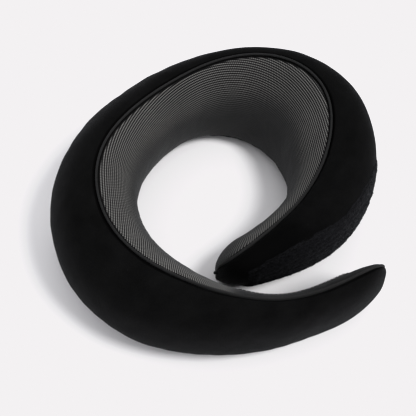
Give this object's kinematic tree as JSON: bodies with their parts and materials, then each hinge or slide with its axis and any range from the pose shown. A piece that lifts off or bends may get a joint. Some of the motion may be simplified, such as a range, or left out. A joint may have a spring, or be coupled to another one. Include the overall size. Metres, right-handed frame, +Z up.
{
  "type": "neck pillow",
  "caption": "Wrap-around travel neck pillow: a spiral foam collar in a zipped fabric cover, ribbed on the neck side, whose overlapping arms close with hook and loop.",
  "frame": {"origin": "middle of the collar's bounding box at the surface that it rests on", "axes": "+Z up out of the neck opening, +Y towards the back of the neck, -Y towards the overlapping arms"},
  "size_m": [0.2445, 0.242, 0.0996],
  "materials": {
    "memory_foam": "matt open-cell foam",
    "black_jersey": "fine black jersey, matt with a faint sheen",
    "grey_ribbed_knit": "dark grey ribbed knit",
    "black_piping": "black covered piping cord",
    "loop_pile": "brushed nylon loop pile",
    "hook_nylon": "woven nylon with small hooks",
    "zip_tape_cloth": "black woven polyester tape",
    "zip_nylon": "black nylon coil",
    "zip_metal": "black lacquered zinc, satin",
    "label_satin": "pale satin ribbon, blank"
  },
  "bodies": {
    "back": {"foam_core_back": "memory_foam", "outer_shell_back": "black_jersey", "inner_panel_back": "grey_ribbed_knit", "top_piping_back": "black_piping", "bottom_piping_back": "black_piping", "care_label": "label_satin", "zip_tape_upper": "zip_tape_cloth", "zip_tape_lower": "zip_tape_cloth", "zip_coil_upper": "zip_nylon", "zip_coil_lower": "zip_nylon", "zip_top_stop": "zip_metal", "zip_bottom_stop": "zip_metal"},
    "short_arm": {"foam_core_short_arm": "memory_foam", "outer_shell_short_arm": "black_jersey", "inner_panel_short_arm": "grey_ribbed_knit", "top_piping_short_arm": "black_piping", "bottom_piping_short_arm": "black_piping", "loop_patch": "loop_pile"},
    "long_arm": {"foam_core_long_arm": "memory_foam", "outer_shell_long_arm": "black_jersey", "inner_panel_long_arm": "grey_ribbed_knit", "top_piping_long_arm": "black_piping", "bottom_piping_long_arm": "black_piping", "hook_strip": "hook_nylon"},
    "zip_slider": {"zip_slider": "zip_metal"},
    "zip_pull": {"zip_pull": "zip_metal"}
  },
  "joints": [
    {"name": "long_arm_flex", "type": "hinge", "parent": "back", "child": "long_arm", "pos_m": [-0.015, -0.096, 0.045], "axis": [0, 0, 1], "range_deg": [-45, 6], "stiffness_Nm_per_rad": 0.6},
    {"name": "short_arm_flex", "type": "hinge", "parent": "back", "child": "short_arm", "pos_m": [0.086, 0.025, 0.045], "axis": [0, 0, -1], "range_deg": [-2, 15], "stiffness_Nm_per_rad": 0.6},
    {"name": "zip_slide", "type": "hinge", "parent": "back", "child": "zip_slider", "pos_m": [0.0002, 0.0097, 0.016], "axis": [0, 0, 1], "range_deg": [0, 70]},
    {"name": "pull_swing", "type": "hinge", "parent": "zip_slider", "child": "zip_pull", "pos_m": [0.03714, 0.1112, 0.01295], "axis": [-0.1658, -0.4556, -0.8746], "range_deg": [0, 165]}
  ]
}
